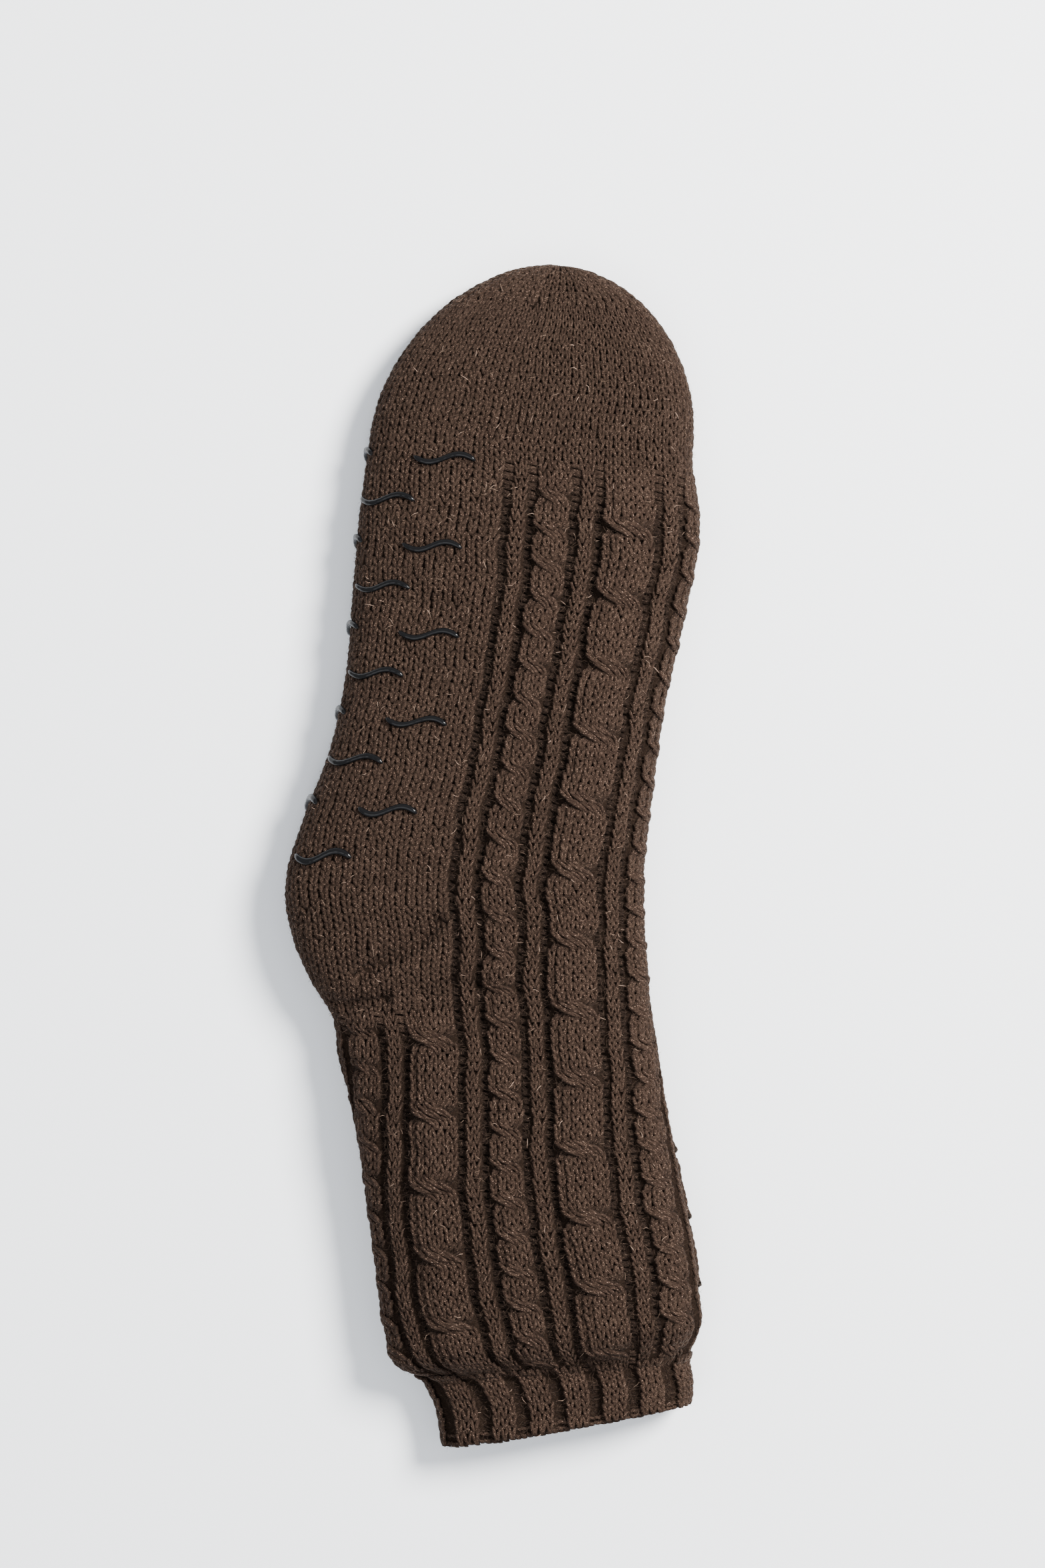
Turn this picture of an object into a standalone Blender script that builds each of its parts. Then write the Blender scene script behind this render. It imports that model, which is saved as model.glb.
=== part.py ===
"""A cable-knit slipper sock, empty and slack, lying on its side on a floor at z = 0.

+Y points to the toe, +X to the instep side, +Z up. The origin is the bottom centre of the bounding box.
The sock is knitted whole, so foot, heel, leg and ribbed cuff are one hollow wall, open at the collar.
Raised anti-slip waves of rubbery print lie on the sole, each a solid of its own.
Sections run from the sole or back edge, over the top, to the instep or front edge, and back underneath.
"""

import math

import bmesh
import bpy
import numpy as np

# Driving dimensions, in metres
FOOT_LENGTH = 0.224  # heel point to toe tip, along Y
LEG_LENGTH = 0.201  # heel point to the far corner of the collar, along Y
FOOT_WIDTH = 0.121  # flat width at the ball
HEEL_WIDTH = 0.129  # flat width from the heel point to the front of the ankle
LEG_WIDTH = 0.112  # flat width of the leg
CUFF_WIDTH = 0.091  # flat width of the drawn-in cuff
LYING_HEIGHT = 0.031  # thickness of the slack leg, lying on its side
WALL = 0.0027  # plain knitting
RIB_RISE = 0.0012  # two-stitch rib over the purl gutters
SMALL_CABLE_RISE = 0.0016
BIG_CABLE_RISE = 0.0024
CUFF_RISE = 0.0012
CABLE_PITCH = 0.025  # one crossing of the big cable to the next
GRIP_LENGTH = 0.022
GRIP_WIDTH = 0.0022
GRIP_THICKNESS = 0.0008
GRIP_WAVE = 0.0018  # half the height of the wave
GRIP_ROW_PITCH = 0.0160
GRIP_COLUMN_PITCH = 0.038
GRIP_FIRST_ROW = 0.009  # from the toe base to the first row, along the sock
GRIP_CLEARANCE = 0.0003  # between print and wall
GRIP_LIFT_FADE = 0.012  # where the wall comes down to the floor, before and after the prints
PLAIN_TOE = 0.030  # the cables rise from plain knitting over this length past the toe base
PATTERN_LEAD = 0.004  # the leg's pattern starts this far before the ankle section
PATTERN_RISE = 0.010  # and is at full height after this length
FLOOR_RISE = 0.016  # the leg's underside lifts off the floor over this length
LEAST_HALF = 0.0005  # the least half width and half thickness of a section

# Counts
GRIP_ROWS = 10
GRIP_COLUMNS = 4
STITCHES_ROUND = 90
STITCHES_IN_REPEAT = 18
INSTEP_STITCHES = 30
CUFF_RIB_STITCHES = 6
GRIP_STEPS = 8
TOE_RINGS = 8
INNER_RING_STEPS = 2  # the inside has one ring and one column for this many of the outside
RINGS_IN_CROSSING = 2

# Where the columns of the wall stand in half a repeat, in stitches from the middle of the big cable
COLUMN_STITCHES = (0.0, 1.6, 2.8, 3.5, 4.2, 5.8, 6.5, 7.2, 9.0)

# Half widths of the pattern's ridges, in stitches, and where the rib lies between the cables
BIG_CABLE_STITCHES = 3.2
SMALL_CABLE_STITCHES = 2.2
RIB_STITCHES = 1.2
RIB_PLACE = 5.0
RIDGE_POWER = 4  # how square the ridges are across
CABLE_SWELL = 0.14  # share of its rise by which the big cable swells and sinks
SOLE_FADE_STITCHES = 2.0  # the instep's floor contact fades into the sole over these stitches

# Form of the slack section
EDGE_SHARE = 0.42  # height of the fold at either edge, as a share of the thickness
TOP_POWER = 2.7
UNDER_POWER = 3.6
UNDER_REACH = 1.12  # how far the underside would sag through the floor that flattens it
TOE_POWER = 1.9
TOE_END = 0.985  # share of the toe cap where its closing seam lies
SECTION_SAMPLES = 240
SLOPE_SAMPLES = 1.5  # how far to either side the outward direction looks
BRICK_SHIFT = 0.25  # share of a column by which rows of prints stand to either side

# Each section's two ends: along is a share of the foot or leg length from the heel point,
# side a share of the flat width named, from the line through the middle of the ankle.
# high is a share of the lying height, front the share of the way round where the front centre lies,
# spread the share by which stitches are wider there than the mean stitch of the section.
SECTION_COLUMNS = ("name", "length", "width", "sole_along", "sole_side",
                   "instep_along", "instep_side", "high", "front", "spread")
SECTIONS = (
    ("toe_base", "foot", "foot", 0.733, -0.375, 0.695, 0.583, 0.86, 0.386, 0.030),
    ("ball", "foot", "foot", 0.610, -0.405, 0.567, 0.589, 0.93, 0.386, 0.030),
    ("waist", "foot", "foot", 0.481, -0.427, 0.433, 0.544, 0.97, 0.387, 0.000),
    ("arch", "foot", "foot", 0.353, -0.446, 0.299, 0.488, 1.00, 0.387, 0.000),
    ("gusset", "foot", "heel", 0.210, -0.471, 0.150, 0.421, 1.04, 0.386, -0.010),
    ("heel_turn", "foot", "heel", 0.107, -0.540, 0.064, 0.403, 1.05, 0.387, -0.050),
    ("heel_point", "leg", "heel", 0.000, -0.590, -0.005, 0.399, 1.04, 0.387, -0.090),
    ("heel_back", "leg", "heel", -0.084, -0.572, -0.066, 0.402, 1.02, 0.386, -0.095),
    ("heel_top", "leg", "heel", -0.167, -0.519, -0.131, 0.411, 0.99, 0.376, -0.050),
    ("ankle", "leg", "leg", -0.238, -0.523, -0.203, 0.484, 0.96, 0.367, 0.000),
    ("low_leg", "leg", "leg", -0.322, -0.484, -0.281, 0.505, 0.97, 0.360, 0.010),
    ("mid_leg", "leg", "leg", -0.466, -0.432, -0.406, 0.539, 1.00, 0.345, 0.050),
    ("calf", "leg", "leg", -0.598, -0.392, -0.531, 0.583, 1.02, 0.334, 0.075),
    ("full_leg", "leg", "leg", -0.698, -0.368, -0.627, 0.617, 1.03, 0.333, 0.080),
    ("balloon", "leg", "leg", -0.782, -0.347, -0.710, 0.638, 1.00, 0.334, 0.080),
    ("fold_over", "leg", "leg", -0.848, -0.303, -0.788, 0.636, 0.90, 0.337, 0.060),
    ("cuff_top", "leg", "cuff", -0.886, -0.288, -0.854, 0.760, 0.75, 0.340, 0.000),
    ("cuff_middle", "leg", "cuff", -0.919, -0.237, -0.884, 0.765, 0.74, 0.340, 0.000),
    ("collar", "leg", "cuff", -1.000, -0.203, -0.925, 0.757, 0.76, 0.340, 0.000),
)
TOE_TIP_SIDE = 0.187


def smoothstep(low, high, value):
    """0 below low, 1 above high, soft in between."""
    t = np.clip((value - low) / (high - low), 0.0, 1.0)
    return t * t * (3.0 - 2.0 * t)


def section_table():
    """The sections as arrays: sole end, instep end, thickness and front share, toe base first."""
    lengths = {"foot": FOOT_LENGTH, "leg": LEG_LENGTH}
    widths = {"foot": FOOT_WIDTH, "heel": HEEL_WIDTH, "leg": LEG_WIDTH, "cuff": CUFF_WIDTH}
    rows = []
    for values in SECTIONS:
        row = dict(zip(SECTION_COLUMNS, values))
        length = lengths[row["length"]]
        width = widths[row["width"]]
        rows.append((row["sole_side"] * width, row["sole_along"] * length,
                     row["instep_side"] * width, row["instep_along"] * length,
                     row["high"] * LYING_HEIGHT, row["front"], row["spread"]))
    return np.array(rows)


TABLE = section_table()
MIDDLES = (TABLE[:, 0:2] + TABLE[:, 2:4]) / 2
REACH = np.concatenate(([0.0], np.cumsum(np.hypot(*np.diff(MIDDLES, axis=0).T))))
TOTAL = REACH[-1]
TOE_TIP = np.array((TOE_TIP_SIDE * FOOT_WIDTH, FOOT_LENGTH))
TOE_REACH = float(np.hypot(*(TOE_TIP - MIDDLES[0])))
TANGENTS = np.gradient(TABLE, REACH, axis=0)

NAMES = [row[0] for row in SECTIONS]
CUFF_START = REACH[NAMES.index("cuff_top")]
CUFF_FOLD = REACH[NAMES.index("fold_over")]
HEEL_END = REACH[NAMES.index("ankle")]
GRIP_LAST_ROW = GRIP_FIRST_ROW + (GRIP_ROWS - 1) * GRIP_ROW_PITCH


def table_at(reach):
    """The table's values at a distance along the sock's middle line from the toe base (cubic Hermite)."""
    reach = min(max(reach, 0.0), TOTAL)
    k = min(int(np.searchsorted(REACH, reach, side="right")) - 1, len(REACH) - 2)
    span = REACH[k + 1] - REACH[k]
    t = (reach - REACH[k]) / span
    return ((2 * t**3 - 3 * t**2 + 1) * TABLE[k] + (t**3 - 2 * t**2 + t) * span * TANGENTS[k]
            + (3 * t**2 - 2 * t**3) * TABLE[k + 1] + (t**3 - t**2) * span * TANGENTS[k + 1])


def floor_under(reach, stitch):
    """Height of the unraised wall's underside: the ribs and the grip prints hold it off the floor."""
    leg = smoothstep(HEEL_END - PATTERN_LEAD, HEEL_END - PATTERN_LEAD + FLOOR_RISE, reach)
    edge = INSTEP_STITCHES / 2
    instep = smoothstep(edge + SOLE_FADE_STITCHES, edge, abs(stitch))
    cables = max(leg, instep * smoothstep(0.0, PLAIN_TOE, reach))
    near = GRIP_WAVE + GRIP_WIDTH
    starts = GRIP_FIRST_ROW - near
    ends = GRIP_LAST_ROW + near
    grips = (smoothstep(starts - GRIP_LIFT_FADE, starts, reach)
             * smoothstep(ends + GRIP_LIFT_FADE, ends, reach))
    return max(cables * RIB_RISE, grips * (GRIP_CLEARANCE + GRIP_THICKNESS))


def relief(reach, stitch):
    """How far the outside stands proud of the plain wall, from the stitch counted round from the front."""
    leg = smoothstep(HEEL_END - PATTERN_LEAD, HEEL_END - PATTERN_LEAD + PATTERN_RISE, reach)
    instep = 1.0 if abs(stitch) <= INSTEP_STITCHES / 2 else 0.0
    cables = max(leg, instep) * smoothstep(0.0, PLAIN_TOE, reach)
    cables = cables * smoothstep(CUFF_START, CUFF_FOLD, reach)
    repeat = round(stitch / STITCHES_IN_REPEAT)
    place = abs(stitch - repeat * STITCHES_IN_REPEAT)
    from_small = STITCHES_IN_REPEAT / 2 - place
    turn = math.cos(2 * math.pi * (TOTAL - reach) / CABLE_PITCH) * (-1) ** repeat
    if place < BIG_CABLE_STITCHES:
        swell = 1 - CABLE_SWELL + CABLE_SWELL * turn
        height = BIG_CABLE_RISE * (1 - (place / BIG_CABLE_STITCHES) ** RIDGE_POWER) * swell
    elif from_small < SMALL_CABLE_STITCHES:
        height = SMALL_CABLE_RISE * (1 - (from_small / SMALL_CABLE_STITCHES) ** RIDGE_POWER)
    else:
        height = RIB_RISE * max(0.0, 1 - (abs(place - RIB_PLACE) / RIB_STITCHES) ** RIDGE_POWER)
    wave = 0.5 + 0.5 * math.cos(2 * math.pi * stitch / CUFF_RIB_STITCHES)
    cuff = smoothstep(CUFF_FOLD, CUFF_START, reach)
    return height * cables + CUFF_RISE * wave * cuff


def section_frame(reach):
    """Sole end, instep end, heights below and above the fold, and the toe cap's shrinking."""
    row = table_at(reach)
    sole, instep, high = row[0:2], row[2:4], row[4]
    shrink = 1.0
    if reach < 0:
        share = min(-reach / TOE_REACH, TOE_END)
        shrink = (1 - share**TOE_POWER) ** (1 / TOE_POWER)
        middle = (sole + instep) / 2
        half = (instep - sole) / 2
        middle = middle + (TOE_TIP - middle) * share
        sole = middle - half * shrink
        instep = middle + half * shrink
    edge = high * EDGE_SHARE
    return sole, instep, edge, high - edge, shrink


def way_round(reach, stitch):
    """The share of the way round at which a stitch lies."""
    row = table_at(reach)
    front, spread = row[5], row[6]
    half = STITCHES_ROUND / 2
    turn = signed(stitch)
    place = turn * (1 + spread * (1 - (turn / half) ** 2))
    return (front + place / STITCHES_ROUND) % 1.0


def section_points(reach, inset):
    """Samples round the plain section, moved in by inset, with their shares of the way round."""
    sole, instep, under, over, shrink = section_frame(reach)
    turn = np.linspace(0.0, 2 * math.pi, SECTION_SAMPLES, endpoint=False)
    across = -np.cos(turn)
    rise = np.sin(turn)
    power = np.where(rise >= 0, TOP_POWER, UNDER_POWER)
    across = np.sign(across) * np.abs(across) ** (2 / power)
    rise = np.sign(rise) * np.abs(rise) ** (2 / power)
    width = float(np.hypot(*(instep - sole)))
    half = max(width / 2 - inset, LEAST_HALF)
    top = max(over * shrink - inset, LEAST_HALF)
    bottom = max(under * shrink * UNDER_REACH - inset, LEAST_HALF)
    x = across * half
    z = under + np.where(rise >= 0, rise * top, rise * bottom)
    steps = np.hypot(np.diff(x, append=x[:1]), np.diff(z, append=z[:1]))
    share = np.concatenate(([0.0], np.cumsum(steps)))
    return x, z, share / share[-1], share[-1]


def wall_point(reach, stitch, raised=0.0, inset=0.0):
    """A point of the wall at a distance along and a stitch round, pushed out by raised."""
    sole, instep, _, _, _ = section_frame(reach)
    x, z, share, _ = section_points(reach, inset)
    at = way_round(reach, stitch)
    xs = np.append(x, x[0])
    zs = np.append(z, z[0])
    px, pz = np.interp(at, share, xs), np.interp(at, share, zs)
    near = SLOPE_SAMPLES / SECTION_SAMPLES
    ahead, behind = (at + near) % 1.0, (at - near) % 1.0
    dx = np.interp(ahead, share, xs) - np.interp(behind, share, xs)
    dz = np.interp(ahead, share, zs) - np.interp(behind, share, zs)
    out = np.array((-dz, dx)) / max(math.hypot(dx, dz), 1e-9)
    bottom = floor_under(reach, stitch) + inset
    if pz < bottom:
        pz = bottom
        out = np.array((0.0, -1.0))
    px += out[0] * raised
    pz = max(pz + out[1] * raised, 0.0)
    direction = (instep - sole) / max(float(np.hypot(*(instep - sole))), 1e-9)
    middle = (sole + instep) / 2
    return np.array((middle[0] + direction[0] * px, middle[1] + direction[1] * px, pz))


def columns():
    """Stitch places of the wall's columns, all the way round from the front centre."""
    half = list(COLUMN_STITCHES)
    one = half[:-1] + [STITCHES_IN_REPEAT - s for s in reversed(half[1:])]
    repeats = STITCHES_ROUND // STITCHES_IN_REPEAT
    return [r * STITCHES_IN_REPEAT + s for r in range(repeats) for s in one]


def rings():
    """Distances along the sock of the wall's rings, toe first."""
    pitch = CABLE_PITCH / RINGS_IN_CROSSING
    body = [TOTAL - k * pitch for k in range(int(TOTAL / pitch), -1, -1)]
    toe = [-TOE_REACH * TOE_END * math.sin(math.pi / 2 * k / TOE_RINGS) for k in range(TOE_RINGS, 0, -1)]
    places = toe + [0.0] + [r for r in body if r > pitch / 4]
    for extra in (CUFF_FOLD, CUFF_START, (CUFF_FOLD + CUFF_START) / 2):
        places = [r for r in places if abs(r - extra) > pitch / 6] + [extra]
    return sorted(places)


def signed(stitch):
    """The stitch counted from -45 to 45 about the front centre."""
    return (stitch + STITCHES_ROUND / 2) % STITCHES_ROUND - STITCHES_ROUND / 2


def grid(bm, places, stitches, inset):
    """Rings of vertices on the outside (inset 0) or on the inside of the wall."""
    made = []
    for reach in places:
        ring = []
        for stitch in stitches:
            raised = relief(reach, signed(stitch)) if inset == 0 else 0.0
            ring.append(bm.verts.new(wall_point(reach, signed(stitch), raised, inset)))
        made.append(ring)
    return made


def skin(bm, made, outwards):
    """Faces between neighbouring rings."""
    for near, far in zip(made, made[1:]):
        for i in range(len(near)):
            j = (i + 1) % len(near)
            corners = (near[i], near[j], far[j], far[i])
            bm.faces.new(corners if outwards else corners[::-1])


def close_toe(bm, ring, outwards):
    """Joins the top of the last ring to its underside, as the toe's grafted seam does."""
    count = len(ring)
    heights = [v.co.x for v in ring]
    start = heights.index(min(heights))
    order = [ring[(start + k) % count] for k in range(count)]
    for k in range(count // 2):
        corners = [order[k], order[k + 1], order[(count - k - 1) % count], order[(count - k) % count]]
        unique = list(dict.fromkeys(corners))
        if len(unique) > 2:
            bm.faces.new(unique[::-1] if outwards else unique)


def close_collar(bm, outer, inner):
    """The rim of the collar, between an outer ring and an inner ring with fewer columns."""
    ratio = len(outer) // len(inner)
    for j in range(len(inner)):
        nearest = inner[j]
        following = inner[(j + 1) % len(inner)]
        first = j * ratio
        for k in range(ratio):
            a = outer[first + k]
            b = outer[(first + k + 1) % len(outer)]
            bm.faces.new((a, b, following) if k == ratio - 1 else (a, b, nearest))
        bm.faces.new((nearest, outer[(first + ratio - 1) % len(outer)], following))


def material(name, colour, roughness):
    made = bpy.data.materials.new(name)
    made.use_nodes = True
    shader = made.node_tree.nodes["Principled BSDF"]
    shader.inputs["Base Color"].default_value = (*colour, 1.0)
    shader.inputs["Roughness"].default_value = roughness
    shader.inputs["Metallic"].default_value = 0.0
    return made


def add_object(name, bm, made_of, shift):
    bmesh.ops.translate(bm, verts=bm.verts, vec=(-shift[0], -shift[1], 0.0))
    mesh = bpy.data.meshes.new(name)
    bm.to_mesh(mesh)
    bm.free()
    mesh.shade_smooth()
    mesh.materials.append(made_of)
    obj = bpy.data.objects.new(name, mesh)
    bpy.context.scene.collection.objects.link(obj)
    return obj


def knitted_wall():
    """Foot, heel, leg and cuff in one hollow wall."""
    bm = bmesh.new()
    places = rings()
    around = columns()
    outer = grid(bm, places, around, 0.0)
    inner_places = places[::INNER_RING_STEPS]
    if inner_places[-1] != places[-1]:
        inner_places.append(places[-1])
    inner_places[0] = -(TOE_REACH * TOE_END - WALL)
    inner = grid(bm, inner_places, around[::INNER_RING_STEPS], WALL)
    skin(bm, outer, True)
    skin(bm, inner, False)
    close_toe(bm, outer[0], True)
    close_toe(bm, inner[0], False)
    close_collar(bm, outer[-1], inner[-1])
    bmesh.ops.recalc_face_normals(bm, faces=bm.faces)
    return bm


def grip_bar(reach, stitch):
    """One wave of raised print, wrapped round the sole about a place given along and round."""
    bm = bmesh.new()
    _, _, _, round_length = section_points(reach, 0.0)
    per_stitch = round_length / STITCHES_ROUND
    rings_made = []
    for k in range(GRIP_STEPS + 1):
        t = k / GRIP_STEPS
        across = (t - 0.5) * GRIP_LENGTH
        wave = GRIP_WAVE * math.sin(2 * math.pi * t)
        ring = []
        for side in (-1, 1):
            at = reach + wave + side * GRIP_WIDTH / 2
            turned = stitch + across / per_stitch
            for height in (GRIP_CLEARANCE, GRIP_CLEARANCE + GRIP_THICKNESS):
                ring.append(bm.verts.new(wall_point(at, turned, height)))
        rings_made.append([ring[0], ring[1], ring[3], ring[2]])
    for near, far in zip(rings_made, rings_made[1:]):
        for i in range(4):
            j = (i + 1) % 4
            bm.faces.new((near[i], near[j], far[j], far[i]))
    bm.faces.new(rings_made[0])
    bm.faces.new(rings_made[-1][::-1])
    bmesh.ops.recalc_face_normals(bm, faces=bm.faces)
    return bm


def grip_places():
    """Distance along and stitch round for each wave, in a brick layout about the sole's middle."""
    middle = STITCHES_ROUND / 2
    for row in range(GRIP_ROWS):
        reach = GRIP_FIRST_ROW + row * GRIP_ROW_PITCH
        _, _, _, round_length = section_points(reach, 0.0)
        pitch = GRIP_COLUMN_PITCH / (round_length / STITCHES_ROUND)
        for column in range(GRIP_COLUMNS):
            shift = BRICK_SHIFT if row % 2 else -BRICK_SHIFT
            offset = column - (GRIP_COLUMNS - 1) / 2 + shift
            yield row + 1, column + 1, reach, middle - offset * pitch


def build():
    for obj in list(bpy.data.objects):
        bpy.data.objects.remove(obj, do_unlink=True)
    yarn = material("brown_melange_yarn", (0.060, 0.042, 0.030), 0.95)
    rubber = material("black_grip_print", (0.006, 0.006, 0.007), 0.30)
    wall = knitted_wall()
    xs = [v.co.x for v in wall.verts]
    ys = [v.co.y for v in wall.verts]
    shift = ((min(xs) + max(xs)) / 2, (min(ys) + max(ys)) / 2)
    add_object("knitted_sock", wall, yarn, shift)
    for row, column, reach, stitch in grip_places():
        add_object(f"grip_wave_{row}_{column}", grip_bar(reach, stitch), rubber, shift)


build()
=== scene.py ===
"""Looks of the cable-knit slipper sock: every stitch is two strands of yarn laid on the sock's own sections.

The sections repeat the CAD wall's. A place on the knitting is given by its reach, the distance along the
sock's middle line from the toe base (negative in the toe), and its stitch, counted round from the front.
Rows count from the toe base towards the cuff.
"""

import math

import bpy
import numpy as np
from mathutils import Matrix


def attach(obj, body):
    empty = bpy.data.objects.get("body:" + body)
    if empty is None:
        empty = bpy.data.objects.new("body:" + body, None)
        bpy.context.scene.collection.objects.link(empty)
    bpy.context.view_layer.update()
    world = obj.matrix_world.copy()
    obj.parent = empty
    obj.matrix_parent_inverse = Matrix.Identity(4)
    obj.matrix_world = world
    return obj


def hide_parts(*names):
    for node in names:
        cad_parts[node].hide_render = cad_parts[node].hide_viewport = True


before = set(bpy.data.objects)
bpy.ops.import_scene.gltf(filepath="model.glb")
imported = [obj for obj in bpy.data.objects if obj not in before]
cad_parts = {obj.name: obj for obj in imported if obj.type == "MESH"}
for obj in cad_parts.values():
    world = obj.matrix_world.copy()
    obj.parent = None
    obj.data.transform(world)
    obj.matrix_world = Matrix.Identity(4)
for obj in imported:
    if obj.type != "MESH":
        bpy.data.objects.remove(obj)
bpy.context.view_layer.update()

# The CAD wall's sizes, in metres
FOOT_LENGTH = 0.224
LEG_LENGTH = 0.201
WIDTHS = {"foot": 0.121, "heel": 0.129, "leg": 0.112, "cuff": 0.091}
LYING_HEIGHT = 0.031
WALL = 0.0027
RIB_RISE = 0.0012
SMALL_CABLE_RISE = 0.0016
BIG_CABLE_RISE = 0.0024
CUFF_RISE = 0.0012
PLAIN_TOE = 0.030
TOE_TIP_SIDE = 0.187

# The CAD wall's slack section
EDGE_SHARE = 0.42
TOP_POWER = 2.7
UNDER_POWER = 3.6
UNDER_REACH = 1.12
TOE_POWER = 1.9
TOE_END = 0.985
TOE_SEAM = 0.997  # the strands close the toe a little nearer its tip
LEAST_HALF = 0.0005  # of a section's width or height
BOX_PLACES = 200  # sections, and stitches in each, that give the CAD box
BOX_STITCHES = 180

# Where cables and prints hold the plain wall's underside off the floor, by reach
LEG_LIFT = (-0.004, 0.012)  # from the heel's end
INSTEP_LIFT_FADE = 2.0  # in stitches
PRINTS_START = (-0.007, 0.005)
PRINTS_END = (0.169, 0.157)

# The CAD wall's sections, with the same columns
SECTION_COLUMNS = ("name", "length", "width", "sole_along", "sole_side",
                   "instep_along", "instep_side", "high", "front", "spread")
SECTIONS = (
    ("toe_base", "foot", "foot", 0.733, -0.375, 0.695, 0.583, 0.86, 0.386, 0.030),
    ("ball", "foot", "foot", 0.610, -0.405, 0.567, 0.589, 0.93, 0.386, 0.030),
    ("waist", "foot", "foot", 0.481, -0.427, 0.433, 0.544, 0.97, 0.387, 0.000),
    ("arch", "foot", "foot", 0.353, -0.446, 0.299, 0.488, 1.00, 0.387, 0.000),
    ("gusset", "foot", "heel", 0.210, -0.471, 0.150, 0.421, 1.04, 0.386, -0.010),
    ("heel_turn", "foot", "heel", 0.107, -0.540, 0.064, 0.403, 1.05, 0.387, -0.050),
    ("heel_point", "leg", "heel", 0.000, -0.590, -0.005, 0.399, 1.04, 0.387, -0.090),
    ("heel_back", "leg", "heel", -0.084, -0.572, -0.066, 0.402, 1.02, 0.386, -0.095),
    ("heel_top", "leg", "heel", -0.167, -0.519, -0.131, 0.411, 0.99, 0.376, -0.050),
    ("ankle", "leg", "leg", -0.238, -0.523, -0.203, 0.484, 0.96, 0.367, 0.000),
    ("low_leg", "leg", "leg", -0.322, -0.484, -0.281, 0.505, 0.97, 0.360, 0.010),
    ("mid_leg", "leg", "leg", -0.466, -0.432, -0.406, 0.539, 1.00, 0.345, 0.050),
    ("calf", "leg", "leg", -0.598, -0.392, -0.531, 0.583, 1.02, 0.334, 0.075),
    ("full_leg", "leg", "leg", -0.698, -0.368, -0.627, 0.617, 1.03, 0.333, 0.080),
    ("balloon", "leg", "leg", -0.782, -0.347, -0.710, 0.638, 1.00, 0.334, 0.080),
    ("fold_over", "leg", "leg", -0.848, -0.303, -0.788, 0.636, 0.90, 0.337, 0.060),
    ("cuff_top", "leg", "cuff", -0.886, -0.288, -0.854, 0.760, 0.75, 0.340, 0.000),
    ("cuff_middle", "leg", "cuff", -0.919, -0.237, -0.884, 0.765, 0.74, 0.340, 0.000),
    ("collar", "leg", "cuff", -1.000, -0.203, -0.925, 0.757, 0.76, 0.340, 0.000),
)

# Knitting: stitch counts, and the height of a row in each kind of fabric
STITCHES_ROUND = 90
REPEAT = 18
INSTEP_HALF = 15
SOLE_WALE = 1.25  # width of a sole wale, in stitches of the leg
SOLE_LINE = -33.0  # the stitch along which the sole's rows keep their height
LEG_ROW = 0.0031
SOLE_ROW = 0.0028
CUFF_ROW = 0.0027
CUFF_RIB = 6
BIG_CROSS_ROWS = 8
SMALL_CROSS_ROWS = 4
BIG_WINDOW = 1.3  # half the rows over which three stitches pass over three
SMALL_WINDOW = 0.95
CROSSING_SPREAD = 0.36  # share by which a crossing half widens
CROSSING_PULL = 0.05  # share by which it is drawn to the cable's middle
SWING_GROWTH = 1.6  # the cables swing fully before they have risen fully
LEG_RISE = (-0.002, 0.011)  # reach over which they rise behind the heel, from its end
FIRST_CROSSING = 1.5  # row, from the toe base, of a crossing of the middle cable
SIDE_CABLE_LAG = 2.4  # rows by which the side cables cross later
SMALL_CABLE_LAG = 1.0

# Where the wales of one repeat lie, from the middle of the big cable, with each one's width
WALES = ((0.51, 1.02, "big"), (1.53, 1.02, "big"), (2.52, 0.98, "big"), (3.62, 1.15, "purl"),
         (4.62, 0.74, "rib"), (5.38, 0.74, "rib"), (6.38, 1.15, "purl"), (7.50, 1.0, "small"),
         (8.50, 1.0, "small"))
KINDS = {"big": 0, "small": 1, "rib": 2, "purl": 3, "plain": 4, "cuff": 5, "cuff_purl": 6,
         "rim": 7, "rim_middle": 8, "rim_inside": 9}
BIG_HALF = 3.05
SMALL_HALF = 2.02
GUTTER_DEPTH = 0.0008

# A cable's height, as shares of its rise
CABLE_CREST = 1.25
CABLE_FALL = 0.85  # from its middle to its edge
CABLE_ROUNDING = 2.4
CABLE_EDGE = 1.1
FRONT_LIFT = 0.34
BEHIND_DROP = 0.50

# Cuff: widths of its wales in stitches, and its rows by reach or number
CUFF_WALE = 1.25
CUFF_GUTTER_WALE = 0.75
CUFF_CREST = 1.3
CUFF_OVERLAP = 0.003
LAST_CUFF_ROW = 0.6  # rows from the collar
RIM_ROUNDS = (("rim", 0.22), ("rim_middle", 0.40), ("rim_inside", 0.22))  # rows past the last
RIM_STEP = 0.0010  # from one round of the rim's yarn to the next, into the wall

# Plain knitting: where it starts and ends, and where it takes fewer, larger stitches
TOE_KNITTING_END = 0.012
SOLE_KNITTING_START = -0.004
PLAIN_WIDTH = 0.0028
NARROW = 0.66  # shares of that width below which one stitch stands for two, then for four
NARROWEST = 0.34
LOW_ROW = 0.6  # share of a row's height below which one row stands for two

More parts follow.
